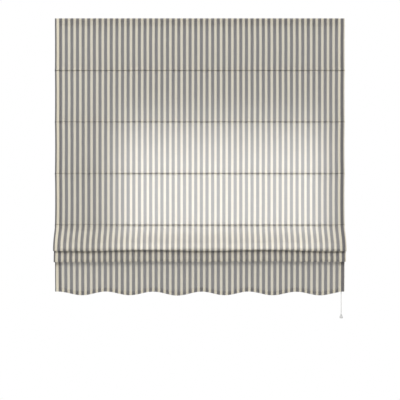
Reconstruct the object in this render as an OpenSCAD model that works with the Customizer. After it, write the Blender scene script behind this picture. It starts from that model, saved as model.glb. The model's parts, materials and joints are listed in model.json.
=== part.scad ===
// Roman blind, drawn up by two folds, with a headrail on wall brackets and a corded lift.
// Millimetres. X runs along the rail, -Y faces the room, +Z is up.
// The origin is the middle of the bracket holes, on the wall.

/* [Blind] */
// Finished width of the cloth
blind_width = 1300; // [900:10:1600]
// Drop from the top edge of the cloth to the first rod
top_drop = 233; // [200:1:260]
// Drop from each rod to the next, with the panel hanging flat
panel_drop = 232; // [205:1:260]
// Drop from the bottom bar to the scallop tips
tail_drop = 250; // [200:1:300]
// Distance between rods where a panel is drawn up
stack_pitch = 32; // [30:1:40]

/* [Cloth] */
// Thickness of the lined cloth
cloth_t = 1; // [0.8:0.1:1.4]
// Forward belly of a flat panel, half way down
panel_belly = 7; // [4:0.5:10]
// Drop of the first fold below the fourth rod
first_fold_drop = 111.5; // [100:0.5:125]
// How far the first fold stands in front of the flat panels
first_fold_depth = 39; // [30:1:45]
// Radius of the cloth at the foot of the first fold
first_fold_turn = 3.5; // [3:0.1:6]
// Drop of the second fold below the fifth rod
second_fold_drop = 129; // [115:0.5:135]
// How far the second fold stands in front of the flat panels
second_fold_depth = 18; // [14:1:22]
// Radius of the cloth at the foot of the second fold
second_fold_turn = 2.4; // [2:0.1:4]
// Number of waves along the scalloped hem
scallop_count = 6; // [3:1:12]
// Height of one wave of the hem
scallop_rise = 16.5; // [8:0.5:24]
// Straight hem left of the first wave
scallop_left = 14.5; // [2:0.5:30]
// Straight hem right of the last wave
scallop_right = 2; // [2:0.5:30]

/* [Rods and rings] */
// Diameter of a batten rod
rod_d = 4.5; // [4:0.1:5]
// Distance from the cloth's side edge to the end of a rod
rod_inset = 28; // [24:1:40]
// Height of the flat bottom bar
bar_height = 20; // [16:1:22]
// Thickness of the flat bottom bar
bar_t = 3.2; // [2.5:0.1:3.6]
// Mean diameter of a cord ring
ring_d = 10.4; // [10:0.1:11]
// Thickness of a cord ring
ring_wire = 1.8; // [1.6:0.1:2]

/* [Rail] */
// Depth of the headrail, front to back
rail_depth = 28; // [27.5:0.5:31]
// Height of the headrail
rail_height = 30; // [30:0.5:36]
// Wall of the headrail
rail_wall = 1.6; // [1.4:0.1:1.8]
// Gap between the wall and the back of the rail
wall_gap = 9; // [8:0.5:14]
// Height of the two tapes that hold the cloth on the rail
tape_height = 20; // [16:1:24]
// Distance from the cloth's side edge to the end of a tape, clear of the side hem
tape_inset = 30; // [20:1:60]

/* [Brackets] */
// Distance between the two brackets
bracket_spacing = 860; // [500:10:900]
// Distance between the two screw holes of a bracket
hole_pitch = 20; // [16:1:24]
// Diameter of a screw hole
hole_d = 5; // [4:0.1:5.5]
// Width of a bracket
bracket_width = 20; // [18:1:26]
// Thickness of the bracket plate
bracket_t = 2; // [1.5:0.1:2.5]

/* [Cord gear] */
// Diameter of a lift cord
cord_d = 1.2; // [1:0.1:1.4]
// Distance between two lift cords that run side by side
lane_pitch = 1.8; // [1.7:0.1:1.9]
// Distance from the cloth's side edge to the outer lift cords
column_inset = 110; // [80:5:140]
// Diameter of a cord roller between its flanges
roller_d = 11; // [10:0.2:11.4]

/* [Pull] */
// Diameter of the pull cord
pull_cord_d = 3; // [2:0.1:3.2]
// Distance from the top edge of the cloth to the foot of the bell
pull_reach = 1348; // [1240:1:1400]
// Diameter of the bell at its foot
bell_d = 14; // [12:0.5:18]
// Height of the bell
bell_height = 18; // [16:0.5:24]

/* [Hidden] */
$fn = 64;

// Clearance between pieces that move on each other
gap = 0.3;
// Clearance of a piece that is pushed into another
snug = 0.05;
// Reach of a cutting shape past the face it cuts
past = 1;

// Headrail, measured from the wall outwards and from its top down
rail_y = -(wall_gap + rail_depth / 2);
rail_front = -(wall_gap + rail_depth);
rail_top = 20;
rail_bottom = rail_top - rail_height;
rail_half = blind_width / 2 - 6;
rail_inner = rail_depth - 2 * rail_wall;
slot_width = 11;
slot_room = 5.2;
web_bottom = rail_top - 2 * rail_wall - slot_room;
mouth = 17;
lip_top = rail_bottom + rail_wall;
cap_t = 3;

// Bracket arm over the rail, with the latch lever between them
lever_t = 1.6;
lever_reach = 18;
arm_bottom = rail_top + lever_t + 2 * gap;
arm_top = arm_bottom + bracket_t;
rivet_r = 2;
rivet_head_t = 0.8;
leg_bottom = -hole_pitch / 2 - 8;

// Cloth, from the face of the rail forwards
tape_t = 1.2;
cloth_back = rail_front - 2 * tape_t;
cloth_mid = cloth_back - cloth_t / 2;
cloth_top = arm_top + rivet_head_t + 1;
flat_panels = 4;
folds = 2;
rods = flat_panels + 1;
columns = 4;
function rod_z(k) = cloth_top - top_drop - (min(k, flat_panels) - 1) * panel_drop
    - max(k - flat_panels, 0) * stack_pitch;
bar_z = rod_z(rods) - stack_pitch;
tip_z = bar_z - tail_drop;

// Rods in their pockets, and the rings behind the pockets on the line of the lift cords
rod_r = rod_d / 2;
rod_end = blind_width / 2 - rod_inset;
rod_cap_r = rod_r + 0.65;
rod_cap_len = 12;
cap_end = 2;
pocket_bore = rod_cap_r + gap;
pocket_r = pocket_bore + cloth_t;
pocket_proud = 1.5;
ring_r = ring_d / 2;
pocket_back = rail_y - ring_r - ring_wire / 2 - gap;
pocket_y = pocket_back - pocket_r;
bar_cap_wall = 0.7;
bar_pocket_t = bar_t + 2 * (bar_cap_wall + gap + cloth_t);
bar_pocket_h = bar_height + 2 * (bar_cap_wall + gap + cloth_t);
bar_y = pocket_back - bar_pocket_t / 2;

// Cord gear in the lower room of the rail
cord_r = cord_d / 2;
turn_r = roller_d / 2 + cord_r + 0.25;
flange_r = roller_d / 2 + 1.5;
flange_t = 1;
roller_w = 3 * lane_pitch + cord_d + 1 + 2 * flange_t;
cheek_in = roller_w / 2 + gap;
pin_r = 1.5;
guide_floor = 2.5;
guide_left = 15;
guide_right = 13;
guide_half = 6;
guide_foot = 5;
roller_z = lip_top + guide_floor + 0.5 + flange_r;
run_z = roller_z + turn_r;
cord_inset = 12;
cord_x = blind_width / 2 - cord_inset;
lock_x = cord_x - turn_r;
lock_reach = 38;
lock_left = cord_x - lock_reach;
lock_right = rail_half - gap;
lock_drop = 14;
lock_bottom = lip_top - lock_drop;
pawl_r = 12;
pawl_lean = 20;
pawl_x = cord_x - cord_r - gap - pawl_r * cos(pawl_lean);
pawl_drop = 7;
pawl_z = roller_z - flange_r - pawl_drop;
function column_x(k) = (blind_width / 2 - column_inset) * (2 * (k - 1) / (columns - 1) - 1);
function lane_y(k) = rail_y + (k - (columns + 1) / 2) * lane_pitch;

// Anchors under the bar rings, condenser and bell on the pull cord
anchor_r = 5;
anchor_h = 9;
anchor_bore = 7;
anchor_hold = 6;
anchor_top = bar_z - ring_wire / 2 - 0.1;
fold_travel = panel_drop - stack_pitch;
toggle_gap = 4;
toggle_top = lock_bottom - toggle_gap;
toggle_h = 12;
condenser_r = 5.2;
condenser_cap_h = 7;
condenser_h = 22;
condenser_flare = 12;
condenser_swell = 18;
condenser_spigot = 4;
condenser_socket = 5;
condenser_hold = 8;
condenser_gap = 14;
pull_hold = 10;
condenser_top = toggle_top - toggle_h - folds * fold_travel - condenser_gap;
condenser_foot = condenser_top - condenser_cap_h - condenser_h;
pull_r = pull_cord_d / 2;
bell_foot = cloth_top - pull_reach;
bell_r = bell_d / 2;
knot_r = 2.9;
plug_h = 3;
bell_room = plug_h + 2 * knot_r + 2 * gap;

// Drops of the pull cord's points below the condenser's foot, and their sideways sway
pull_drops = [0, 20, 60, 110, 160, 220, 280, 340, 400, 460, 520, 580, 640, 700, 750, 790];
pull_sway = [0, 0, 0.2, 0.4, 0.6, 0.8, 1, 1, 1, 0.8, 0.6, 0.4, 0.2, 0, 0, 0];

// Curve helpers, in the (Y, Z) plane
function bezier(p, t) = pow(1 - t, 3) * p[0] + 3 * t * pow(1 - t, 2) * p[1]
    + 3 * t * t * (1 - t) * p[2] + t * t * t * p[3];
function bezier_run(p, n) = [for (i = [0 : n - 1]) bezier(p, i / n)];
function arc_run(c, r, a0, a1, n) =
    [for (i = [0 : n - 1]) let (a = a0 + (a1 - a0) * i / n) c + r * [cos(a), sin(a)]];
function heading(p, i) =
    let (d = p[min(i + 1, len(p) - 1)] - p[max(i - 1, 0)]) d / norm(d);
function beside(p, d) =
    [for (i = [0 : len(p) - 1]) let (h = heading(p, i)) p[i] + d * [-h[1], h[0]]];
function turned(p) = [for (i = [len(p) - 1 : -1 : 0]) p[i]];

// A flat panel bellies forward a little between its two seams
function panel_run(z0, z1) = [for (i = [0 : 9]) let (u = i / 10)
    [cloth_mid - panel_belly * sin(180 * u), z0 + (z1 - z0) * u]];

// A fold leaves its rod straight down, swells forward, turns at the bottom and climbs back to
// the next rod, where the cloth doubles over the seam
seam_r = 1.2;
function fold_run(z0, z1, drop, depth, r) =
    let (foot = z0 - drop,
        front = [cloth_mid - depth, foot + r],
        rear = [cloth_mid - depth + 2 * r, foot + r],
        seam = [cloth_mid - 2 * seam_r, z1],
        fall = drop - r,
        rise = z1 - foot - r)
    concat(
        bezier_run([[cloth_mid, z0], [cloth_mid, z0 - 0.2 * fall],
            front + [0, 0.5 * fall], front], 14),
        arc_run(front + [r, 0], r, 180, 360, 10),
        bezier_run([rear, rear + [0, 0.5 * rise], seam - [0, 0.3 * rise], seam], 10),
        arc_run([cloth_mid - seam_r, z1], seam_r, 180, 0, 6));

cloth_line = concat(
    [[cloth_mid, cloth_top]],
    panel_run(rail_bottom, rod_z(1)),
    [for (k = [1 : flat_panels - 1]) each panel_run(rod_z(k), rod_z(k + 1))],
    fold_run(rod_z(4), rod_z(5), first_fold_drop, first_fold_depth, first_fold_turn),
    fold_run(rod_z(5), bar_z, second_fold_drop, second_fold_depth, second_fold_turn),
    [[cloth_mid, bar_z], [cloth_mid, tip_z]]);

scallop_start = -blind_width / 2 + scallop_left;
scallop_end = blind_width / 2 - scallop_right;
scallop_wave = (scallop_end - scallop_start) / scallop_count;
function hem_z(x) = tip_z + scallop_rise / 2 * (1 + cos(360 * (x - scallop_start) / scallop_wave));

// Shapes drawn in (Y, Z) and drawn out along X
module along_x(length) {
    rotate([90, 0, 90]) linear_extrude(length, center = true) children();
}

// Shapes drawn in (X, Z) and drawn out along Y, evenly about the rail's middle
module along_y(length) {
    translate([0, rail_y, 0]) rotate([90, 0, 0]) linear_extrude(length, center = true) children();
}

module bar_x(r, x0, x1, y, z) {
    translate([x0, y, z]) rotate([0, 90, 0]) cylinder(r = r, h = x1 - x0);
}

module pin_y(r, length, x, z) {
    translate([x, rail_y, z]) rotate([90, 0, 0]) cylinder(r = r, h = length, center = true);
}

module box(x0, x1, y0, y1, z0, z1) {
    translate([x0, y0, z0]) cube([x1 - x0, y1 - y0, z1 - z0]);
}

module headrail() {
    h = rail_depth / 2;
    i = h - rail_wall;
    s = slot_width / 2;
    m = mouth / 2;
    color("#e9e8e4") translate([0, rail_y, 0]) along_x(2 * rail_half) difference() {
        polygon([[-h, rail_bottom], [h, rail_bottom], [h, rail_top], [-h, rail_top]]);
        polygon([[-i, web_bottom + rail_wall], [i, web_bottom + rail_wall],
            [i, rail_top - rail_wall], [s, rail_top - rail_wall], [s, rail_top + past],
            [-s, rail_top + past], [-s, rail_top - rail_wall], [-i, rail_top - rail_wall]]);
        polygon([[-m, rail_bottom - past], [m, rail_bottom - past], [m, lip_top], [i, lip_top],
            [i, web_bottom], [-i, web_bottom], [-i, lip_top], [-m, lip_top]]);
    }
}

// End cap with a plug that fills the rail's upper room
module rail_cap(side) {
    h = rail_depth / 2;
    c = 2;
    plug = rail_inner / 2 - snug;
    color("#dddcd8") translate([side * (rail_half + cap_t / 2), 0, 0]) union() {
        translate([0, rail_y, 0]) along_x(cap_t)
            polygon([[-h + c, rail_bottom], [h - c, rail_bottom], [h, rail_bottom + c],
                [h, rail_top - c], [h - c, rail_top], [-h + c, rail_top], [-h, rail_top - c],
                [-h, rail_bottom + c]]);
        translate([-side * (cap_t / 2 + 5), rail_y, 0]) along_x(10)
            polygon([[-plug, web_bottom + rail_wall + snug], [plug, web_bottom + rail_wall + snug],
                [plug, rail_top - rail_wall - snug], [-plug, rail_top - rail_wall - snug]]);
    }
}

module tape(y0) {
    z = (rail_top + rail_bottom) / 2;
    half = blind_width / 2 - tape_inset;
    box(-half, half, y0, y0 + tape_t, z - tape_height / 2, z + tape_height / 2);
}

module hook_tape() {
    color("#f2f1ee") tape(rail_front - tape_t);
}

module loop_tape() {
    color("#e4e2dc") tape(rail_front - 2 * tape_t);
}

// Angle bracket: a leg on the wall with two screw holes, a bend, and an arm over the rail
module bracket(side) {
    w = bracket_width / 2;
    c = 3;
    bend = 3;
    tip = rail_y - 9;
    color("#d5d7d8") translate([side * bracket_spacing / 2, 0, 0]) difference() {
        union() {
            rotate([90, 0, 0]) linear_extrude(bracket_t)
                polygon([[-w + c, leg_bottom], [w - c, leg_bottom], [w, leg_bottom + c],
                    [w, arm_top - bend], [-w, arm_top - bend], [-w, leg_bottom + c]]);
            translate([0, 0, arm_bottom]) linear_extrude(bracket_t)
                polygon([[-w, -bend], [-w, tip + c], [-w + c, tip], [w - c, tip], [w, tip + c],
                    [w, -bend]]);
            along_x(bracket_width) intersection() {
                translate([-bend, arm_top - bend]) difference() {
                    circle(bend);
                    circle(bend - bracket_t);
                }
                translate([-bend, arm_top - bend]) square(bend);
            }
        }
        for (z = [-hole_pitch / 2, hole_pitch / 2])
            translate([0, past, z]) rotate([90, 0, 0]) cylinder(d = hole_d, h = bracket_t + 2 * past);
        translate([0, rail_y, arm_bottom - past])
            cylinder(r = rivet_r + snug, h = bracket_t + 2 * past);
    }
}

latch_head_t = 2.6;
latch_head_top = rail_top - rail_wall - 0.2;
latch_head_bottom = latch_head_top - latch_head_t;

// Rivet that holds a swivel latch under the bracket arm
module bracket_rivets() {
    foot = latch_head_bottom - 0.2;
    color("#b9bcbe") for (side = [-1, 1])
        translate([side * bracket_spacing / 2, rail_y, 0]) rotate_extrude()
            polygon([[0, foot - 0.9], [3.4, foot - 0.9], [3.4, foot], [rivet_r, foot],
                [rivet_r, arm_top], [3.6, arm_top], [3, arm_top + rivet_head_t],
                [0, arm_top + rivet_head_t]]);
}

// Swivel latch: a lever above the rail and a T head that turns across the slot below it
module latch(side) {
    head_r = 8.8;
    neck_r = slot_width / 2 - 0.5;
    color("#4a4d50") translate([side * bracket_spacing / 2, rail_y, 0]) difference() {
        union() {
            translate([0, 0, rail_top + gap]) cylinder(r = 7, h = lever_t);
            box(0, lever_reach - 4, -4, 4, rail_top + gap, rail_top + gap + lever_t);
            translate([lever_reach - 4, 0, rail_top + gap]) cylinder(r = 4, h = lever_t);
            translate([0, 0, latch_head_top]) cylinder(r = neck_r,
                h = rail_top + gap - latch_head_top);
            intersection() {
                translate([0, 0, latch_head_bottom]) cylinder(r = head_r, h = latch_head_t);
                box(-neck_r, neck_r, -10, 10, latch_head_bottom - past, latch_head_top + past);
            }
        }
        translate([0, 0, latch_head_bottom - past])
            cylinder(r = rivet_r + 0.1, h = rail_top + gap + lever_t - latch_head_bottom + 2 * past);
    }
}

// Cord guide: a floor on the rail's lips, two cheeks for the roller, and a foot through the mouth
module guide_body(k) {
    x = column_x(k) + turn_r;
    room = rail_inner / 2 - gap;
    foot = mouth / 2 - gap;
    slot_y = 1.5 * lane_pitch + cord_r + 0.6;
    cheek_t = 3;
    color("#f0efec") difference() {
        union() {
            box(x - guide_left, x + guide_right, rail_y - room, rail_y + room,
                lip_top, lip_top + guide_floor);
            for (s = [-1, 1]) translate([0, s * (cheek_in + cheek_t / 2), 0]) along_y(cheek_t)
                union() {
                    translate([x - guide_half, lip_top + guide_floor - 0.5])
                        square([2 * guide_half, roller_z - lip_top - guide_floor + 0.5]);
                    translate([x, roller_z]) circle(guide_half);
                }
            box(column_x(k) - guide_half, column_x(k) + guide_half, rail_y - foot, rail_y + foot,
                lip_top - guide_foot, lip_top + past);
        }
        box(column_x(k) - 1.6, column_x(k) + 1.6, rail_y - slot_y, rail_y + slot_y,
            lip_top - guide_foot - past, lip_top + guide_floor + past);
        pin_y(pin_r, 2 * rail_depth, x, roller_z);
    }
}

// Cord roller: a drum between two flanges
module roller(x) {
    w = roller_w / 2;
    f = w - flange_t;
    translate([x, rail_y, roller_z]) rotate([90, 0, 0]) rotate_extrude()
        polygon([[pin_r + 0.1, -w], [flange_r, -w], [flange_r, -f - 0.2], [roller_d / 2, -f],
            [roller_d / 2, f], [flange_r, f + 0.2], [flange_r, w], [pin_r + 0.1, w]]);
}

module guide_roller(k) {
    color("#d9dad8") roller(column_x(k) + turn_r);
}

module guide_pins() {
    color("#b9bcbe") for (k = [1 : columns])
        pin_y(pin_r - 0.02, 2 * (cheek_in + 3), column_x(k) + turn_r, roller_z);
}

// Cord lock: a box in the end of the rail, open above and below, with a wall for the pawl to pinch on
module lock_body() {
    room = rail_inner / 2 - gap;
    foot = mouth / 2 - gap;
    wall = cord_x + cord_r + 0.4;
    color("#f0efec") difference() {
        union() {
            box(lock_left, lock_right, rail_y - room, rail_y + room, lip_top, roller_z + flange_r + 0.6);
            box(lock_left + 4, lock_right, rail_y - foot, rail_y + foot, lock_bottom, lip_top + past);
        }
        box(lock_left + 7, wall, rail_y - cheek_in, rail_y + cheek_in,
            lock_bottom - past, roller_z + flange_r + past + 1);
        box(lock_left - past, lock_left + 8, rail_y - cheek_in, rail_y + cheek_in,
            run_z - cord_r - 0.8, roller_z + flange_r + past + 1);
        pin_y(pin_r, 2 * (cheek_in + 3), lock_x, roller_z);
        pin_y(pin_r, rail_depth, pawl_x, pawl_z);
    }
}

module lock_roller() {
    color("#d9dad8") roller(lock_x);
}

module lock_pins() {
    color("#b9bcbe") {
        pin_y(pin_r - 0.02, 2 * (cheek_in + 3), lock_x, roller_z);
        pin_y(pin_r - 0.02, mouth - 2 * gap, pawl_x, pawl_z);
    }
}

// Pawl with a toothed nose on the cord side and a heavier tail that keeps the nose up
module lock_pawl() {
    tip = pawl_r * [cos(pawl_lean), -sin(pawl_lean)];
    lean = [-0.17, 1];
    teeth = [for (i = [0 : 3]) each
        [tip + 1.5 * i * lean, tip + (1.5 * i + 0.9) * lean - [0.7, 0]]];
    color("#c9a24a") along_y(roller_w) translate([pawl_x, pawl_z]) difference() {
        union() {
            polygon(concat(teeth, [tip + 6.4 * lean - [0.3, 0], [0, 4], [-3, 0], [-1, -4]]));
            circle(4);
            polygon([[0, 4], [-9, 3.5], [-9, -5.5], [0, -4]]);
            translate([-9, -1]) circle(4.5);
        }
        circle(pin_r + 0.1);
    }
}

// Pocket for a rod: a stitched neck behind the cloth and a sleeve round the rod
module rod_pocket(k) {
    reach = blind_width + 2 * pocket_proud;
    translate([0, 0, rod_z(k)]) {
        box(-reach / 2, reach / 2, cloth_back - cloth_t / 2, pocket_y - pocket_bore - 0.3,
            -cloth_t, cloth_t);
        bar_x(pocket_r, -reach / 2, reach / 2, pocket_y, 0);
    }
}

module bar_pocket() {
    reach = blind_width + 2 * pocket_proud;
    translate([0, 0, bar_z]) {
        box(-reach / 2, reach / 2, cloth_back - cloth_t / 2, bar_y, -cloth_t, cloth_t);
        box(-reach / 2, reach / 2, bar_y - bar_pocket_t / 2, bar_y + bar_pocket_t / 2,
            -bar_pocket_h / 2, bar_pocket_h / 2);
    }
}

module fabric() {
    far = blind_width;
    in_t = bar_pocket_t / 2 - cloth_t;
    in_h = bar_pocket_h / 2 - cloth_t;
    color("#cfc9b9") difference() {
        union() {
            along_x(blind_width)
                polygon(concat(beside(cloth_line, cloth_t / 2), turned(beside(cloth_line, -cloth_t / 2))));
            for (k = [1 : rods]) rod_pocket(k);
            bar_pocket();
        }
        for (k = [1 : rods]) bar_x(pocket_bore, -far, far, pocket_y, rod_z(k));
        box(-far, far, bar_y - in_t, bar_y + in_t, bar_z - in_h, bar_z + in_h);
        along_y(4 * rail_depth)
            polygon(concat([[-far, tip_z - scallop_rise], [-far, tip_z + scallop_rise],
                [scallop_start, tip_z + scallop_rise]],
                [for (i = [1 : 16 * scallop_count - 1])
                    let (x = scallop_start + i * scallop_wave / 16) [x, hem_z(x)]],
                [[scallop_end, tip_z + scallop_rise], [far, tip_z + scallop_rise],
                [far, tip_z - scallop_rise]]));
    }
}

module quarter_turn(x, y, a0) {
    translate([x, y, roller_z]) rotate([90, 0, 0])
        rotate_extrude(start = a0, angle = 90) translate([turn_r, 0]) circle(cord_r);
}

// Lift cord: up from its anchor, over its guide, along the rail, over the lock and down
module lift_cord(k) {
    x = column_x(k);
    foot = anchor_top - anchor_hold;
    tail = condenser_top - condenser_hold;
    color("#e8e6e0") union() {
        translate([x, lane_y(k), foot]) cylinder(r = cord_r, h = roller_z - foot);
        quarter_turn(x + turn_r, lane_y(k), 90);
        bar_x(cord_r, x + turn_r, lock_x, lane_y(k), run_z);
        quarter_turn(lock_x, lane_y(k), 0);
        translate([cord_x, lane_y(k), tail]) cylinder(r = cord_r, h = roller_z - tail);
    }
}

module rod(k) {
    color("#eceae2") bar_x(rod_r, -rod_end + cap_end, rod_end - cap_end, pocket_y, rod_z(k));
}

module rod_caps(k) {
    color("#fafaf8") for (s = [-1, 1])
        translate([s * rod_end, pocket_y, rod_z(k)]) rotate([0, -s * 90, 0]) rotate_extrude()
            polygon([[0, 0], [rod_cap_r - 0.6, 0], [rod_cap_r, 0.6], [rod_cap_r, rod_cap_len],
                [rod_r + snug, rod_cap_len], [rod_r + snug, cap_end], [0, cap_end]]);
}

// Cord ring, lying flat, with a short foot that is sewn to the pocket
module ring(x, z) {
    translate([x, rail_y, z]) union() {
        rotate_extrude() translate([ring_r, 0]) circle(ring_wire / 2);
        box(-2.5, 2.5, -ring_r - ring_wire / 2, -ring_r, -ring_wire / 2, ring_wire / 2);
    }
}

module rings(z) {
    color("#f6f6f3") for (k = [1 : columns]) ring(column_x(k), z);
}

module bottom_bar() {
    color("#d3d5d6") box(-rod_end + cap_end, rod_end - cap_end, bar_y - bar_t / 2, bar_y + bar_t / 2,
        bar_z - bar_height / 2, bar_z + bar_height / 2);
}

module bar_caps() {
    t = bar_t / 2;
    h = bar_height / 2;
    w = bar_cap_wall;
    color("#fafaf8") for (s = [-1, 1]) translate([s * rod_end, bar_y, bar_z]) mirror([s < 0 ? 1 : 0, 0, 0])
        difference() {
            box(-rod_cap_len, 0, -t - w, t + w, -h - w, h + w);
            box(-rod_cap_len - past, -cap_end, -t - snug, t + snug, -h - snug, h + snug);
        }
}

// Anchor bead under each ring of the bar, where a lift cord ends
module cord_anchors() {
    color("#f6f6f3") for (k = [1 : columns]) difference() {
        translate([column_x(k), rail_y, anchor_top - anchor_h]) rotate_extrude()
            polygon([[0, 0], [anchor_r - 1.5, 0], [anchor_r, 1.5], [anchor_r, anchor_h - 1],
                [anchor_r - 1, anchor_h], [0, anchor_h]]);
        translate([column_x(k), lane_y(k), anchor_top - anchor_bore])
            cylinder(r = cord_r + gap, h = anchor_bore + past);
    }
}

// Toggle bead that keeps the four cords together below the lock and slides on them
module cord_toggle() {
    color("#f6f6f3") difference() {
        translate([cord_x, rail_y, toggle_top - toggle_h]) rotate_extrude()
            polygon([[0, 0], [condenser_r - 1.4, 0], [condenser_r, 2], [condenser_r, toggle_h - 2],
                [condenser_r - 1.4, toggle_h], [0, toggle_h]]);
        for (k = [1 : columns]) translate([cord_x, lane_y(k), toggle_top - toggle_h - past])
            cylinder(r = cord_r + 0.2, h = toggle_h + 2 * past);
    }
}

// Condenser: four lift cords come in at the cap, one pull cord leaves at the foot
module condenser_cap() {
    spigot = condenser_r - 1.2;
    color("#f6f6f3") difference() {
        translate([cord_x, rail_y, condenser_top - condenser_cap_h]) rotate_extrude()
            polygon([[0, -condenser_spigot], [spigot, -condenser_spigot], [spigot, 0],
                [condenser_r, 0], [condenser_r, 4], [condenser_r - 0.5, 5.8],
                [condenser_r - 1.3, condenser_cap_h], [0, condenser_cap_h]]);
        for (k = [1 : columns])
            translate([cord_x, lane_y(k), condenser_top - condenser_cap_h - condenser_spigot - past])
                cylinder(r = cord_r + 0.2, h = condenser_cap_h + condenser_spigot + 2 * past);
    }
}

module condenser_body() {
    socket = condenser_r - 1.2 + snug;
    color("#f6f6f3") translate([cord_x, rail_y, condenser_foot]) rotate_extrude()
        polygon([[pull_r + gap, 0], [pull_r + 1.4, 0], [pull_r + 2, 1],
            [condenser_r - 0.6, condenser_flare], [condenser_r, condenser_swell],
            [condenser_r, condenser_h], [socket, condenser_h], [socket, condenser_h - condenser_socket],
            [pull_r + gap, condenser_flare]]);
}

// Pull cord, swept round the points below the condenser's foot
module pull_cord() {
    n = 8;
    top = condenser_foot + pull_hold;
    end = bell_foot + bell_room - gap + 0.2;
    drops = [for (d = pull_drops) if (d < condenser_foot - end - 8) d];
    line = concat([[0, top]],
        [for (i = [0 : len(drops) - 1]) [pull_sway[i], condenser_foot - drops[i]]], [[0, end]]);
    rows = len(line);
    points = [for (p = line, i = [0 : n - 1])
        [cord_x + pull_r * cos(360 * i / n), rail_y + p[0] + pull_r * sin(360 * i / n), p[1]]];
    sides = [for (r = [0 : rows - 2], i = [0 : n - 1]) let (j = (i + 1) % n)
        [r * n + i, r * n + j, (r + 1) * n + j, (r + 1) * n + i]];
    color("#e4e3df") polyhedron(points, concat([[for (i = [n - 1 : -1 : 0]) i]], sides,
        [[for (i = [0 : n - 1]) (rows - 1) * n + i]]));
}

module pull_knot() {
    color("#e4e3df") translate([cord_x, rail_y, bell_foot + plug_h + gap + knot_r]) sphere(knot_r);
}

// Bell: a narrow neck that flares to a straight rim, hollow for the knot
module pull_bell() {
    b = bell_r;
    h = bell_height;
    room = knot_r + 1.5;
    color("#ececea") translate([cord_x, rail_y, bell_foot]) rotate_extrude()
        polygon([[room, 0], [b - 0.4, 0], [b, 0.4], [b, 5], [b - 0.4, 6.6],
            [b - 1.6, bell_room + 0.4], [pull_r + 2.4, h - 3.5], [pull_r + 1.6, h - 0.8],
            [pull_r + 1.1, h], [pull_r + gap, h], [pull_r + gap, bell_room], [room - 1, bell_room],
            [room, bell_room - 1]]);
}

module pull_plug() {
    color("#dcdcd9") translate([cord_x, rail_y, bell_foot + 0.4])
        cylinder(r = knot_r + 1.5 - snug, h = plug_h - 0.4);
}

headrail();
rail_cap(-1);  // rail_cap_left
rail_cap(1);  // rail_cap_right
hook_tape();
loop_tape();
bracket(-1);  // bracket_left
bracket(1);  // bracket_right
bracket_rivets();
latch(-1);  // latch_left
latch(1);  // latch_right
guide_body(1);  // guide_body_1
guide_body(2);  // guide_body_2
guide_body(3);  // guide_body_3
guide_body(4);  // guide_body_4
guide_roller(1);  // guide_roller_1
guide_roller(2);  // guide_roller_2
guide_roller(3);  // guide_roller_3
guide_roller(4);  // guide_roller_4
guide_pins();
lock_body();
lock_roller();
lock_pawl();
lock_pins();
fabric();
lift_cord(1);  // lift_cord_1
lift_cord(2);  // lift_cord_2
lift_cord(3);  // lift_cord_3
lift_cord(4);  // lift_cord_4
rod(1);  // rod_1
rod(2);  // rod_2
rod(3);  // rod_3
rod(4);  // rod_4
rod(5);  // rod_5
rod_caps(1);  // rod_caps_1
rod_caps(2);  // rod_caps_2
rod_caps(3);  // rod_caps_3
rod_caps(4);  // rod_caps_4
rod_caps(5);  // rod_caps_5
rings(rod_z(1));  // rings_1
rings(rod_z(2));  // rings_2
rings(rod_z(3));  // rings_3
rings(rod_z(4));  // rings_4
rings(rod_z(5));  // rings_5
bottom_bar();
bar_caps();
rings(bar_z);  // bar_rings
cord_anchors();
cord_toggle();
condenser_cap();
condenser_body();
pull_cord();
pull_knot();
pull_bell();
pull_plug();
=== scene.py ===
# Roman blind in striped cloth, hung half drawn up from its head rail
import bisect
import json
import math

import bmesh
import bpy
from mathutils import Matrix, Vector, noise

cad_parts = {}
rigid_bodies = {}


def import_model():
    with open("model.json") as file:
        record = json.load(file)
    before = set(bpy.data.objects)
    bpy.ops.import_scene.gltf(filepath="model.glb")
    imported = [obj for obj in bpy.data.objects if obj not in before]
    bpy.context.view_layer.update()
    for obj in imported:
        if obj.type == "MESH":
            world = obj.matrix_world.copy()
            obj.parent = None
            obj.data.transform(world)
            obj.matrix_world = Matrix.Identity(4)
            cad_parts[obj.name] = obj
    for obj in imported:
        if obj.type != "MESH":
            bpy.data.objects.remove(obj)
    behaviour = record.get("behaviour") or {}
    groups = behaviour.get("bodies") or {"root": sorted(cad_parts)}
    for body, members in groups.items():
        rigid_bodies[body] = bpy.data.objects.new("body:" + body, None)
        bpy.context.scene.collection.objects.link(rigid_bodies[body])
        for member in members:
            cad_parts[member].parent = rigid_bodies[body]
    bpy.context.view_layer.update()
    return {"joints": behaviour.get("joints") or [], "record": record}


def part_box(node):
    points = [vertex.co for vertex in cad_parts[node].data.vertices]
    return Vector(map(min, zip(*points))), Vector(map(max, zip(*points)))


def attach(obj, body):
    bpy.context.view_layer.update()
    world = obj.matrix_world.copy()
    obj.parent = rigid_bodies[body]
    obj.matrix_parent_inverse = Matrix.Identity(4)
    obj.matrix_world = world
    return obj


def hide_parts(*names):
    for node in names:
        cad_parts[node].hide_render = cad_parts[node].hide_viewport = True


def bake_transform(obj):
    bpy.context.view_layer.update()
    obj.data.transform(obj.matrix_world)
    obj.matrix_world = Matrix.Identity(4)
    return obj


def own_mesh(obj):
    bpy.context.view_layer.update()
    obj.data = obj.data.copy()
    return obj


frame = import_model()
scene = bpy.context.scene
scene.view_settings.view_transform = "Standard"
mm = 0.001


# where the rods and the bar are, read from the solids
def middle(node):
    low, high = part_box(node)
    return Vector([(a + b) / 2 for a, b in zip(low, high)])


rodPlace = [middle(f"rod_{k}") for k in range(1, 6)]
barPlace = middle("bottom_bar")


# camera
cameraSet = {"place": (0.001, -3.04, -0.789), "lens": 60.17, "sensor": 36.0}


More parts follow.
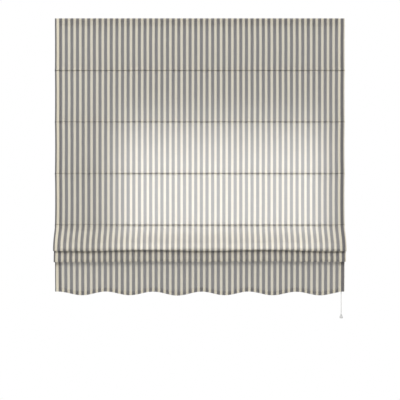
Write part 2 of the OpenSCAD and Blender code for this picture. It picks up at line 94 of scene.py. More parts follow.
def placeCamera():
    data = bpy.data.cameras.new("camera")
    data.sensor_width = cameraSet["sensor"]
    data.lens = cameraSet["lens"]
    camera = bpy.data.objects.new("camera", data)
    camera.location = cameraSet["place"]
    camera.rotation_euler = (math.pi / 2, 0, 0)
    scene.collection.objects.link(camera)
    scene.camera = camera


placeCamera()
print("camera set")


# one socket of a material, with sums on it
class Wire:
    def __init__(self, tree, socket):
        self.tree, self.socket = tree, socket

    def sums(self, operation, *values):
        made = self.tree.nodes.new("ShaderNodeMath")
        made.operation = operation
        for place, value in zip(made.inputs, values):
            plug(self.tree, place, value)
        return Wire(self.tree, made.outputs[0])

    def __add__(self, other):
        return self.sums("ADD", self, other)

    def __radd__(self, other):
        return self.sums("ADD", other, self)

    def __sub__(self, other):
        return self.sums("SUBTRACT", self, other)

    def __rsub__(self, other):
        return self.sums("SUBTRACT", other, self)

    def __mul__(self, other):
        return self.sums("MULTIPLY", self, other)

    def __rmul__(self, other):
        return self.sums("MULTIPLY", other, self)

    def __truediv__(self, other):
        return self.sums("DIVIDE", self, other)

    def __abs__(self):
        return self.sums("ABSOLUTE", self)

    def wave(self):
        return self.sums("SINE", self)

    def fraction(self):
        return self.sums("FRACT", self)

    def larger(self, other):
        return self.sums("MAXIMUM", self, other)

    def side(self, name):
        return Wire(self.tree, self.socket.node.outputs[name])


def plug(tree, place, value):
    if isinstance(value, Wire):
        tree.links.new(value.socket, place)
    else:
        place.default_value = value


# the nodes of a material, a lamp or the world
class NodeSet:
    def __init__(self, owner):
        owner.use_nodes = True
        self.tree = owner.node_tree

    def node(self, kind, settings=None, inputs=None, output=0):
        made = self.tree.nodes.new("ShaderNode" + kind)
        for name, value in (settings or {}).items():
            setattr(made, name, value)
        for name, value in (inputs or {}).items():
            plug(self.tree, made.inputs[name], value)
        return Wire(self.tree, made.outputs[output])

    def step(self, value, low, high, least=0.0, most=1.0):
        return self.node("MapRange", {"interpolation_type": "SMOOTHSTEP"},
                         {"Value": value, "From Min": low, "From Max": high,
                          "To Min": least, "To Max": most})


# a material with its Principled shader, and the patterns that feed it
class Finish(NodeSet):
    def __init__(self, name, fixed=None):
        self.material = bpy.data.materials.new(name)
        NodeSet.__init__(self, self.material)
        self.shader = self.tree.nodes["Principled BSDF"]
        self.feed(fixed or {})

    def feed(self, values):
        for name, value in values.items():
            plug(self.tree, self.shader.inputs[name], value)

    def place(self, scale):
        spot = self.node("TexCoord", output="Object")
        return self.node("Mapping", {}, {"Vector": spot, "Scale": scale})

    def speckle(self, vector, scale, detail=2.0):
        return self.node("TexNoise", {}, {"Vector": vector, "Scale": scale, "Detail": detail})

    def blendColours(self, share, first, second):
        return self.node("Mix", {"data_type": "RGBA"}, {0: share, 6: first, 7: second}, 2)

    def relief(self, height, distance, strength=1.0):
        self.feed({"Normal": self.node("Bump", {}, {"Height": height, "Distance": distance,
                                                    "Strength": strength})})


def shade(colour, share):
    return tuple(c * share for c in colour[:3]) + (1.0,)


# striped cloth: even grey stripes on cream, a plain weave with slubs, light comes through
stripeSet = {"period": 25.26 * mm, "first": -624.4 * mm, "width": 14.0 * mm, "soft": 0.5 * mm,
             "edgeGrain": 700.0, "uneven": 0.8 * mm, "yarn": 0.9 * mm, "weaveHigh": 0.12 * mm,
             "slubFine": 1100.0, "slubLong": 22.0, "slubFrom": 0.34, "slubTo": 0.66,
             "creamTones": (0.93, 1.05), "greyTones": (0.84, 1.16),
             "through": 0.52, "hemThrough": 0.26, "hemAt": 626 * mm,
             "cream": (0.88, 0.82, 0.66, 1), "grey": (0.204, 0.197, 0.204, 1),
             "creamThrough": (0.96, 0.965, 0.975, 1), "greyThrough": (0.955, 0.955, 0.955, 1)}


def clothFinish():
    s = stripeSet
    cloth = Finish("striped_cloth", {"Sheen Weight": 0.12, "Sheen Roughness": 0.5,
                                     "Specular IOR Level": 0.25})
    cut = cloth.node("UVMap", {"uv_map": "cut"}, output="UV")
    across = cloth.node("SeparateXYZ", {}, {0: cut}, "X")
    down = across.side("Y")
    uneven = cloth.speckle(cut, s["edgeGrain"], 1.0) - 0.5
    turn = ((across - s["first"]) / s["period"] + 0.5).fraction()
    fromMiddle = abs(turn - 0.5) * s["period"] + uneven * s["uneven"]
    grey = cloth.step(fromMiddle, s["width"] / 2 - s["soft"], s["width"] / 2 + s["soft"], 1.0, 0.0)
    # slubs run with the warp and the weft
    fine, long = s["slubFine"], s["slubLong"]
    warp = cloth.speckle(cloth.node("Mapping", {}, {"Vector": cut, "Scale": (fine, long, 1.0)}), 1.0)
    weft = cloth.speckle(cloth.node("Mapping", {}, {"Vector": cut, "Scale": (long, fine, 1.0)}), 1.0)
    slub = cloth.step((warp + weft) * 0.5, s["slubFrom"], s["slubTo"])
    creamTone = cloth.blendColours(slub, *[shade(s["cream"], tone) for tone in s["creamTones"]])
    greyTone = cloth.blendColours(slub, *[shade(s["grey"], tone) for tone in s["greyTones"]])
    around = math.pi / s["yarn"]
    weave = (across * around).wave() * (down * around).wave()
    cloth.feed({"Base Color": cloth.blendColours(grey, creamTone, greyTone),
                "Roughness": 0.78 + 0.14 * slub})
    cloth.relief(weave * 0.5 + slub * 0.6, s["weaveHigh"], 0.7)
    # daylight comes through both faces of the cloth, and less of it through the side hems
    share = cloth.step(abs(across), s["hemAt"] - mm, s["hemAt"] + mm, s["through"], s["hemThrough"])
    creamGlow = cloth.node("BsdfTranslucent", {}, {"Color": s["creamThrough"]})
    greyGlow = cloth.node("BsdfTranslucent", {}, {"Color": s["greyThrough"]})
    glow = cloth.node("MixShader", {}, {0: grey, 1: creamGlow, 2: greyGlow})
    face = Wire(cloth.tree, cloth.shader.outputs[0])
    both = cloth.node("MixShader", {}, {0: share, 1: face, 2: glow})
    plug(cloth.tree, cloth.tree.nodes["Material Output"].inputs["Surface"], both)
    return cloth.material


threadSet = {"ply": (900.0, 900.0, 2600.0), "rough": 0.5, "rougher": 0.25, "high": 0.08 * mm,
             "dark": (0.62, 0.58, 0.48, 1), "light": (0.80, 0.76, 0.65, 1)}


def threadFinish():
    s = threadSet
    thread = Finish("sewing_thread", {"Sheen Weight": 0.2})
    ply = thread.speckle(thread.place(s["ply"]), 1.0)
    thread.feed({"Base Color": thread.blendColours(ply, s["dark"], s["light"]),
                 "Roughness": s["rough"] + s["rougher"] * ply})
    thread.relief(ply, s["high"])
    return thread.material


# braided cord: two sets of strands cross round it, and its colour is darker in the gaps between them:
# painted shade
braidSet = {"fibre": (60.0, 900.0, 1.0), "toneFrom": 0.45, "toneTo": 1.1,
            "rough": 0.62, "rougher": 0.2, "high": 0.18 * mm}


def cordFinish(name, strands, pitch, light, dark):
    s = braidSet
    cord = Finish(name, {"Sheen Weight": 0.15})
    run = cord.node("UVMap", {"uv_map": "run"}, output="UV")
    turn = cord.node("SeparateXYZ", {}, {0: run}, "X")
    along = turn.side("Y")
    left = abs(((turn * strands + along / pitch) * math.pi).wave())
    right = abs(((turn * strands - along / pitch) * math.pi).wave())
    strandsAndGapShade = left.larger(right)
    fibre = cord.speckle(cord.node("Mapping", {}, {"Vector": run, "Scale": s["fibre"]}), 1.0)
    # the colour darkens where the strands leave gaps: painted shade in the recesses, mixed with a random
    # fibre tone
    tone = cord.step(strandsAndGapShade * 0.75 + fibre * 0.5, s["toneFrom"], s["toneTo"])
    cord.feed({"Base Color": cord.blendColours(tone, dark, light),
               "Roughness": s["rough"] + s["rougher"] * fibre})
    cord.relief(strandsAndGapShade + fibre * 0.3, s["high"])
    return cord.material


cloth = clothFinish()
thread = threadFinish()
pullBraid = cordFinish("pull_cord_braid", 4.0, 3.0 * mm, (0.80, 0.79, 0.76, 1), (0.50, 0.49, 0.46, 1))
liftBraid = cordFinish("lift_cord_braid", 3.0, 1.6 * mm, (0.82, 0.80, 0.75, 1), (0.52, 0.50, 0.45, 1))
print("cloth and cord finishes made")


def addPiece(name, bm, materials):
    bmesh.ops.recalc_face_normals(bm, faces=bm.faces)
    mesh = bpy.data.meshes.new(name)
    bm.to_mesh(mesh)
    bm.free()
    for material in materials:
        mesh.materials.append(material)
    mesh.polygons.foreach_set("use_smooth", [True] * len(mesh.polygons))
    piece = bpy.data.objects.new(name, mesh)
    scene.collection.objects.link(piece)
    return piece


def keepEdges(piece, degrees):
    piece.data.set_sharp_from_angle(angle=math.radians(degrees))


# a ring of vertices is carried along the path, one extrusion for each point
def sweepTube(bm, path, radius, sides):
    turnOf = bm.verts.layers.float.get("turn") or bm.verts.layers.float.new("turn")
    alongOf = bm.verts.layers.float.get("along") or bm.verts.layers.float.new("along")
    uv = bm.loops.layers.uv.get("run") or bm.loops.layers.uv.new("run")
    points = [Vector(p) for p in path]
    heads = []
    for i in range(len(points)):
        heads.append((points[min(i + 1, len(points) - 1)] - points[max(i - 1, 0)]).normalized())
    upright = Vector((0, 0, 1)).rotation_difference(heads[0]).to_matrix().to_4x4()
    ring = bmesh.ops.create_circle(bm, cap_ends=False, segments=sides, radius=radius)["verts"]
    for i, v in enumerate(ring):
        v[turnOf], v[alongOf] = i / sides, 0.0
    bmesh.ops.transform(bm, matrix=Matrix.Translation(points[0]) @ upright, verts=ring)
    start, along, faces = list(ring), 0.0, []
    for i in range(1, len(points)):
        edges = list({e for v in ring for e in v.link_edges if all(w in ring for w in e.verts)})
        grown = bmesh.ops.extrude_edge_only(bm, edges=edges)["geom"]
        ring = [g for g in grown if isinstance(g, bmesh.types.BMVert)]
        faces += [g for g in grown if isinstance(g, bmesh.types.BMFace)]
        bmesh.ops.rotate(bm, cent=points[i - 1], verts=ring,
                         matrix=heads[i - 1].rotation_difference(heads[i]).to_matrix())
        bmesh.ops.translate(bm, vec=points[i] - points[i - 1], verts=ring)
        along += (points[i] - points[i - 1]).length
        for v in ring:
            v[alongOf] = along
    for rim in (start, ring):
        faces.append(bmesh.ops.contextual_create(bm, geom=rim)["faces"][0])
    for face in faces:
        turns = [loop.vert[turnOf] for loop in face.loops]
        for loop in face.loops:
            turn = loop.vert[turnOf]
            if max(turns) - min(turns) > 0.5 and turn < 0.5:
                turn += 1.0
            loop[uv].uv = (turn, loop.vert[alongOf])


def spread(first, last, count):
    return [first + (last - first) * i / count for i in range(count + 1)]


# pull cord below the condenser: the same points as its solid
pullSet = {"x": 638 * mm, "y": -23 * mm, "top": -471.4 * mm, "foot": -481.4 * mm, "end": -1312.7 * mm,
           "diameter": 3.0 * mm, "sides": 12,
           "drops": [0, 20, 60, 110, 160, 220, 280, 340, 400, 460, 520, 580, 640, 700, 750, 790],
           "sway": [0, 0, 0.2, 0.4, 0.6, 0.8, 1, 1, 1, 0.8, 0.6, 0.4, 0.2, 0, 0, 0]}


def smoothPath(points, steps):
    path = []
    for i in range(len(points) - 1):
        a, b = Vector(points[max(i - 1, 0)]), Vector(points[i])
        c, d = Vector(points[i + 1]), Vector(points[min(i + 2, len(points) - 1)])
        for n in range(steps):
            t = n / steps
            path.append(0.5 * (2 * b + (c - a) * t + (2 * a - 5 * b + 4 * c - d) * t ** 2
                               + (3 * b - a - 3 * c + d) * t ** 3))
    return path + [Vector(points[-1])]


def makePullCord():
    s = pullSet
    points = [(s["x"], s["y"], s["top"])]
    for drop, sway in zip(s["drops"], s["sway"]):
        points.append((s["x"], s["y"] + sway * mm, s["foot"] - drop * mm))
    path = smoothPath(points + [(s["x"], s["y"], s["end"])], 4)
    bm = bmesh.new()
    sweepTube(bm, path, s["diameter"] / 2, s["sides"])
    piece = addPiece("pull_cord_braided", bm, [pullBraid])
    keepEdges(piece, 50)
    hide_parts("pull_cord")
    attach(piece, "pull")


# lift cords: along the rail, down behind the cloth, and down to the condenser
liftSet = {"columns": [-540 * mm, -180 * mm, 180 * mm, 540 * mm],
           "lanes": [-25.7 * mm, -23.9 * mm, -22.1 * mm, -20.3 * mm],
           "diameter": 1.2 * mm, "sides": 8, "turn": 6.35 * mm, "roller": 1.6 * mm,
           "railFoot": -14 * mm, "lockFoot": -22.4 * mm, "anchorFoot": -974 * mm,
           "toggleTop": -26.4 * mm, "toggleFoot": -38.4 * mm, "tail": -460.4 * mm}


def quarter(x, z, radius, first):
    angles = [math.radians(first + a) for a in (0, 11, 22, 34, 45, 56, 68, 79, 90)]
    return [(x + radius * math.cos(a), z + radius * math.sin(a)) for a in angles]


def cordSet(name, paths):
    bm = bmesh.new()
    for path in paths:
        sweepTube(bm, path, liftSet["diameter"] / 2, liftSet["sides"])
    piece = addPiece(name, bm, [liftBraid])
    keepEdges(piece, 50)
    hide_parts("lift_cord_1", "lift_cord_2", "lift_cord_3", "lift_cord_4")
    return piece


def makeLiftCords():
    s = liftSet
    far = pullSet["x"]
    lanes = list(zip(s["columns"], s["lanes"]))
    runs = []
    for x, y in lanes:
        rise = quarter(x + s["turn"], s["roller"], s["turn"], 90)[::-1]
        fall = quarter(far - s["turn"], s["roller"], s["turn"], 0)[::-1]
        along = [(a, rise[-1][1]) for a in spread(rise[-1][0], fall[0][0], 12)[1:-1]]
        route = [(x, s["railFoot"])] + rise + along + fall + [(far, s["lockFoot"])]
        runs.append([(a, y, b) for a, b in route])
    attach(cordSet("lift_cords_in_rail", runs), "head")
    # behind the cloth, from ring to ring
    stops = [s["railFoot"]] + [p.z for p in rodPlace] + [s["anchorFoot"]]
    for i in range(len(stops) - 1):
        heights = spread(stops[i], stops[i + 1], 12)
        piece = cordSet(f"lift_cords_drop_{i + 1}", [[(x, y, z) for z in heights] for x, y in lanes])
        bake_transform(piece)
    # from the lock to the sliding bead, and through it
    heights = spread(s["lockFoot"], s["toggleTop"], 10)
    piece = cordSet("lift_cords_at_lock", [[(far, y, z) for z in heights] for y in s["lanes"]])
    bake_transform(piece)
    heights = spread(s["toggleTop"], s["toggleFoot"], 3)
    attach(cordSet("lift_cords_in_bead", [[(far, y, z) for z in heights] for y in s["lanes"]]), "toggle")
    # the tails hang below the sliding bead and move with it; what share of them is left at the pull's full
    # rise is worked out
    rise = next(joint for joint in frame["joints"] if joint["name"] == "pull_rise")["range_m"][1]
    left = 1 - rise / (s["toggleFoot"] - s["tail"])
    for k, y in enumerate(s["lanes"]):
        path = [(far, y, z) for z in spread(s["toggleFoot"], s["tail"], 24)]
        piece = cordSet(f"lift_cord_tail_{k + 1}", [path])
        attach(piece, "toggle")
        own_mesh(piece)


makePullCord()
makeLiftCords()
print("cords made")


# cloth, cut flat as (across, depth, -down) and then shaped round the fold line
clothSet = {"width": 1300 * mm, "thick": 0.8 * mm, "top": 26 * mm, "railFoot": -10 * mm,
            "front": -39.9 * mm, "bellies": (7.0 * mm, 5.6 * mm, 4.5 * mm, 3.6 * mm),
            "hem": 24 * mm, "hemTurn": 0.6 * mm, "tuck": 4.0 * mm, "tuckTurn": 2.2 * mm,
            "riseIn": 0.6 * mm, "pullIn": 2.2 * mm, "columnStep": 12.5 * mm, "rowStep": 8 * mm,
            "topHem": 9 * mm, "heldFlat": 36 * mm, "facing": 18 * mm,
            "bow": (1.2 * mm, 5.0), "crease": (0.4 * mm, 14.0)}
foldSet = {5: {"foot": -1013.0 * mm, "depth": 39 * mm, "turn": 3.5 * mm,
               "wave": 2.0 * mm, "tilt": 0.2 * mm, "sag": 1.8 * mm},
           6: {"foot": -1064 * mm, "depth": 26 * mm, "turn": 3.0 * mm,
               "wave": 0.6 * mm, "tilt": 1.2 * mm, "sag": 0.9 * mm}}
footSet = {"crest": -0.241, "pitch": 0.54, "uneven": (0.4 * mm, 6.0), "behind": 0.35,
           "fall": (0.2, 0.5), "rise": (0.5, 0.3), "bow": (1.4 * mm, 5.0), "crease": (0.6 * mm, 13.0)}
tailSet = {"tip": -1217 * mm, "rise": 16.5 * mm, "waves": 6, "left": 14.5 * mm, "right": 2 * mm,
           "stretch": 0.9957, "waveFrom": 70 * mm, "waveFull": 24 * mm, "pullIn": 1.2 * mm,
           "bow": (2.4 * mm, 4.0), "crease": (0.6 * mm, 13.0)}
stitchSet = {"step": 3.4 * mm, "long": 1.15 * mm, "wide": 0.26 * mm, "high": 0.24 * mm,
             "lift": 0.06 * mm, "fromEdge": 3 * mm, "fromEnd": 5 * mm}


def ease(t):
    t = min(1.0, max(0.0, t))
    return t * t * (3 - 2 * t)


def arc(y, z, radius, first, last, steps=6):
    return [(y + radius * math.cos(math.radians(a)), z + radius * math.sin(math.radians(a)))
            for a in spread(first, last, steps)]


def bend(a, b, c, d, steps):
    a, b, c, d = Vector(a), Vector(b), Vector(c), Vector(d)
    return [tuple((1 - t) ** 3 * a + 3 * t * (1 - t) ** 2 * b + 3 * t * t * (1 - t) * c + t ** 3 * d)
            for t in spread(0.0, 1.0, steps)]


# a line in the (y, z) plane, measured along its length
class ClothLine:
    def __init__(self, points):
        self.points = [Vector(points[0])]
        for p in points[1:]:
            if (Vector(p) - self.points[-1]).length > 0.05 * mm:
                self.points.append(Vector(p))
        self.marks = [0.0]
        for a, b in zip(self.points, self.points[1:]):
            self.marks.append(self.marks[-1] + (b - a).length)
        self.length = self.marks[-1]
        self.heads = []
        last = len(self.points) - 1
        for i in range(last + 1):
            self.heads.append((self.points[min(i + 1, last)] - self.points[max(i - 1, 0)]).normalized())

    # the place and the outward side at a length
    def at(self, s):
        i = min(max(bisect.bisect_right(self.marks, s) - 1, 0), len(self.points) - 2)
        t = (s - self.marks[i]) / (self.marks[i + 1] - self.marks[i])
        place = self.points[i].lerp(self.points[i + 1], t)
        head = self.heads[i].lerp(self.heads[i + 1], min(1, max(0, t))).normalized()
        return place, Vector((head.y, -head.x))

    def lengthAt(self, z, after=0.0):
        for i in range(len(self.points) - 1):
            a, b = self.points[i], self.points[i + 1]
            if self.marks[i] >= after and min(a.y, b.y) <= z <= max(a.y, b.y):
                return self.marks[i]
        return self.length


# each seam: half of its slit, how far the panel above stands out over it, its height over its rod
seamSet = {1: {"half": 2.3 * mm, "lip": 2.6 * mm, "rise": -1.6 * mm},
           2: {"half": 1.3 * mm, "lip": 1.2 * mm, "rise": 0.0},
           3: {"half": 0.9 * mm, "lip": 0.5 * mm, "rise": 1.0 * mm},
           4: {"half": 1.0 * mm, "lip": 0.8 * mm, "rise": 2.8 * mm},
           5: {"half": 1.4 * mm, "lip": 0.0, "rise": 0.0},
           6: {"half": 1.4 * mm, "lip": 0.0, "rise": 0.0}}


def seamHeight(k):
    return (barPlace if k == 6 else rodPlace[k - 1]).z + seamSet[k]["rise"]


# the turns where a panel leaves a seam, runs down into one, or comes up to one
def leaveSeam(k):
    s = clothSet
    low = seamHeight(k) - seamSet[k]["half"]
    turn = arc(s["front"] + s["tuckTurn"], low - s["tuckTurn"], s["tuckTurn"], 90, 180)
    return [(s["front"] + s["tuck"], low)] + turn


def meetSeam(k):
    s = clothSet
    high = seamHeight(k) + seamSet[k]["half"]
    lip = s["front"] - seamSet[k]["lip"]
    turn = arc(lip + s["tuckTurn"], high + s["tuckTurn"], s["tuckTurn"], 180, 270)
    return turn + [(s["front"] + s["tuck"], high)]


def riseToSeam(k):
    s = clothSet
    high = seamHeight(k) + seamSet[k]["half"]
    turn = arc(s["front"] + s["riseIn"], high - s["tuckTurn"], s["tuckTurn"], 180, 90)
    return turn + [(s["front"] + s["tuck"], high)]


def bellied(z0, z1, belly):
    s = clothSet
    steps = round((z0 - z1) / s["rowStep"])
    return [(s["front"] - belly * math.sin(math.pi * t), z0 + (z1 - z0) * t) for t in spread(0, 1, steps)]


def panelLine(k):
    s = clothSet
    if k > 1:
        top = leaveSeam(k - 1)
    else:
        r = s["hemTurn"]
        turnedIn = (s["top"] - s["topHem"], s["top"] - s["topHem"] / 2, s["top"] - r)
        top = [(s["front"] + 2 * r, z) for z in turnedIn]
        top += arc(s["front"] + r, s["top"] - r, r, 0, 180)
        top += [(s["front"], z) for z in spread(s["top"] - r, s["railFoot"], 4)]
    foot = meetSeam(k)
    return ClothLine(top + bellied(top[-1][1], foot[0][1], s["bellies"][k - 1])[1:-1] + foot)


def foldLine(k):
    s, f, w = clothSet, foldSet[k], footSet
    top, end = leaveSeam(k - 1), riseToSeam(k)
    front = s["front"] - f["depth"]
    rear = front + 2 * f["turn"]
    toe = f["foot"] + f["turn"]
    a, d = top[-1], end[0]
    fall, rise = a[1] - toe, d[1] - toe
    down = bend(a, (a[0], a[1] - w["fall"][0] * fall), (front, toe + w["fall"][1] * fall), (front, toe), 16)
    up = bend((rear, toe), (rear, toe + w["rise"][0] * rise), (d[0], d[1] - w["rise"][1] * rise), d, 14)
    under = arc(front + f["turn"], toe, f["turn"], 180, 360, 10)
    return ClothLine(top + down[1:] + under[1:] + up[1:] + end[1:])


def tailLine():
    s, t = clothSet, tailSet
    top = leaveSeam(6)
    r = s["hemTurn"]
    steps = round((top[-1][1] - t["tip"]) / s["rowStep"])
    fall = [(s["front"], z) for z in spread(top[-1][1], t["tip"] + r, steps)]
    turned = arc(s["front"] + r, t["tip"] + r, r, 180, 360)
    facing = [(s["front"] + 2 * r, t["tip"] + r + h) for h in spread(0, s["facing"], 3)]
    return ClothLine(top + fall[1:] + turned[1:] + facing[1:])


# across the cloth the side hems turn behind it
def acrossCuts():
    s = clothSet
    r, half = s["hemTurn"], s["width"] / 2 - s["hemTurn"]
    turn = math.pi * r
    count = round(2 * half / s["columnStep"])
    side = [half + turn * t for t in (0.25, 0.5, 0.75, 1.0)]
    side += [half + turn + s["hem"] * t for t in (0.33, 0.66, 1.0)]
    return [-c for c in side[::-1]] + spread(-half, half, count) + side


def acrossPlace(cut, lift):
    r, half = clothSet["hemTurn"], clothSet["width"] / 2 - clothSet["hemTurn"]
    sign, over = math.copysign(1, cut), abs(cut) - half
    if over <= 0:
        return cut, lift
    if over < math.pi * r:
        a = over / r
        return sign * (half + (r + lift) * math.sin(a)), (r + lift) * math.cos(a) - r
    return sign * (half - (over - math.pi * r)), -2 * r - lift


def hemWave(x):
    t = tailSet
    half = clothSet["width"] / 2
    share = (x + half - t["left"]) / (2 * half - t["left"] - t["right"])
    return t["rise"] / 2 * (1 + math.cos(2 * math.pi * t["waves"] * min(1.0, max(0.0, share))))


# a soft unevenness: size is how high it is and how close its waves are
def ripple(x, s, seed, size):
    high, fine = size
    return high * noise.noise(Vector((x * fine, s * fine * 0.55, seed * 7.3)))


# a row of stitches: small spun beads of thread, on both faces
def addStitches(bm, spots, lifts, direction):
    size = [stitchSet[name] for name in ("long", "high", "wide")]
    if direction == "down":
        size.reverse()
    for x, s in spots:
        for lift in lifts:
            place = Matrix.Translation((x, -lift, -s)) @ Matrix.Diagonal((*size, 1.0))
            made = bmesh.ops.create_icosphere(bm, subdivisions=1, radius=1.0, matrix=place)["verts"]
            for face in {f for v in made for f in v.link_faces}:
                face.material_index = 1


def layFlat(line, notch=None):
    s = clothSet
    columns, rows = acrossCuts(), line.marks
    bm = bmesh.new()
    bmesh.ops.create_grid(bm, x_segments=len(columns) - 1, y_segments=len(rows) - 1, size=0.5)
    for v in bm.verts:
        i = round((v.co.x + 0.5) * (len(columns) - 1))
        j = round((v.co.y + 0.5) * (len(rows) - 1))
        v.co = (columns[i], 0.0, -rows[j])
    # a turned edge stops short of the side hems
    if notch:
        limit = s["width"] / 2 - s["hem"] - 1 * mm
        first, last = notch
        waste = [f for f in bm.faces if abs(f.calc_center_median().x) > limit
                 and first < -f.calc_center_median().z < last]
        bmesh.ops.delete(bm, geom=waste, context="FACES")
    bmesh.ops.recalc_face_normals(bm, faces=bm.faces)
    bmesh.ops.solidify(bm, geom=bm.faces[:], thickness=s["thick"])
    depths = [v.co.y for v in bm.verts]
    centre = (min(depths) + max(depths)) / 2
    for v in bm.verts:
        v.co.y = centre - v.co.y
    return bm


def markCut(bm, stretch):
    uv = bm.loops.layers.uv.new("cut")
    for face in bm.faces:
        for loop in face.loops:
            loop[uv].uv = (loop.vert.co.x * stretch, loop.vert.co.z)


def shapeCloth(piece, line, extra):
    for v in piece.data.vertices:
        cut, lift, s = v.co.x, -v.co.y, -v.co.z
        x, out = acrossPlace(cut, lift)
        place, side = line.at(s)
        dx, dout, dz = extra(x, s)
        place = place + side * (out + dout)
        v.co = (x + dx, place.x, place.y + dz)
    piece.data.update()


def sideSpots(line, first, last):
    x = clothSet["width"] / 2 - clothSet["hem"] + stitchSet["fromEdge"]
    count = int((last - first) / stitchSet["step"])
    return [(sign * x, s) for sign in (-1, 1) for s in spread(first, last, count)]


def acrossSpots(s, reach):
    count = int(2 * reach / stitchSet["step"])
    return [(x, s) for x in spread(-reach, reach, count)]


faceLift = clothSet["thick"] / 2 + stitchSet["lift"]
hemLifts = (faceLift, -2 * clothSet["hemTurn"] - faceLift)


def finishCloth(name, bm, stretch=1.0):
    markCut(bm, stretch)
    piece = addPiece(name, bm, [cloth, thread])
    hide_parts("fabric")
    return piece


def makePanel(k):
    s, inset = clothSet, stitchSet["fromEnd"]
    line = panelLine(k)
    turned, held = (s["topHem"], s["heldFlat"]) if k == 1 else (0.0, 0.0)
    bm = layFlat(line, (0.0, turned + 1.0 * mm) if k == 1 else None)
    addStitches(bm, sideSpots(line, turned + inset, line.length - inset), hemLifts, "down")
    if k == 1:
        reach = s["width"] / 2 - s["hem"] - 4 * mm
        addStitches(bm, acrossSpots(turned + 8 * mm, reach), hemLifts, "across")
        # the loop tape is sewn on along its two edges
        tapeLow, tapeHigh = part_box("loop_tape")
        reach = tapeHigh[0] - stitchSet["fromEdge"]
        for z in (tapeLow[2] + 2 * mm, tapeHigh[2] - 2 * mm):
            addStitches(bm, acrossSpots(line.lengthAt(z, turned + 3 * mm), reach), (faceLift,), "across")
    length, foot = line.length, line.length - turned

    def extra(x, d):
        t = max(0.0, d - turned - held) / (foot - held)
        full = math.sin(math.pi * min(1.0, t))
        edge = x / (s["width"] / 2)
        soft = ripple(x, d - turned, 3, s["bow"]) + ripple(x, d, k + 20, s["crease"])
        return -s["pullIn"] * full * edge ** 3, soft * full, 0.0

    piece = finishCloth(f"panel_{k}", bm)
    -length / 2
    -length
    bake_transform(piece)
    shapeCloth(piece, line, extra)
    keepEdges(piece, 55)
    s["width"] + 2 * s["hem"]


def makeFold(k):
    s, f, w, inset = clothSet, foldSet[k], footSet, stitchSet["fromEnd"]
    line = foldLine(k)
    bm = layFlat(line)
    addStitches(bm, sideSpots(line, inset, line.length - inset), hemLifts, "down")
    foot = line.lengthAt(f["foot"] + 0.2 * mm)

    # the fold's foot waves between the cords and hangs lower at its sides
    def extra(x, d):
        near = ease(d / foot) if d < foot else ease((line.length - d) / (line.length - foot))
        edge = x / (s["width"] / 2)
        low = f["wave"] * math.cos(2 * math.pi * (x - w["crest"]) / w["pitch"])
        low += f["tilt"] * edge - f["sag"] * edge ** 4 + ripple(x, 0.0, k, w["uneven"])
        soft = ripple(x, d, k, w["bow"]) + ripple(x, d, k + 20, w["crease"])
        return 0.0, soft * near * (w["behind"] if d > foot else 1.0), near * low

    piece = finishCloth(f"fold_{k - 4}", bm)
    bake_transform(piece)
    shapeCloth(piece, line, extra)
    keepEdges(piece, 55)


def makeTail():
    s, t = clothSet, tailSet
    line = tailLine()
    tipAt = line.lengthAt(t["tip"] + 0.3 * mm)
    bm = layFlat(line, (tipAt - 0.5 * mm, line.length))
    addStitches(bm, sideSpots(line, stitchSet["fromEnd"], tipAt - 20 * mm), hemLifts, "down")
    reach = s["width"] / 2 - s["hem"] - 2 * mm
    addStitches(bm, acrossSpots(tipAt - s["facing"] + stitchSet["fromEdge"], reach), hemLifts, "across")
    waveFrom, waveFull = tipAt - t["waveFrom"], tipAt - t["waveFull"]

    def extra(x, d):
        share = ease((d - waveFrom) / (waveFull - waveFrom))
        free = min(1.0, d / tipAt)
        edge = x / (s["width"] / 2)
        soft = ripple(x, d * 0.5, 9, t["bow"]) + ripple(x, d, 31, t["crease"])
        return -t["pullIn"] * free * edge ** 3, soft * free, share * hemWave(x)

    piece = finishCloth("tail", bm, t["stretch"])
    shapeCloth(piece, line, extra)
    keepEdges(piece, 55)
    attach(piece, "bar")


for k in range(1, 5):
    makePanel(k)
for k in foldSet:
    makeFold(k)
makeTail()
print("cloth made")


# sleeves sewn behind the cloth, round each rod and round the bar
sleeveSet = {"reach": 651.5 * mm, "radius": 4.15 * mm, "notch": 1.6 * mm, "sides": 24, "steps": 54,
             "mouth": 0.8 * mm, "mouthDeep": 5 * mm, "barHalf": (3.6 * mm, 12 * mm),
             "barRound": (0.5, 0.6), "barGirth": 0.6, "pucker": 0.05, "drawn": 0.02, "grain": (38, 120, 50)}


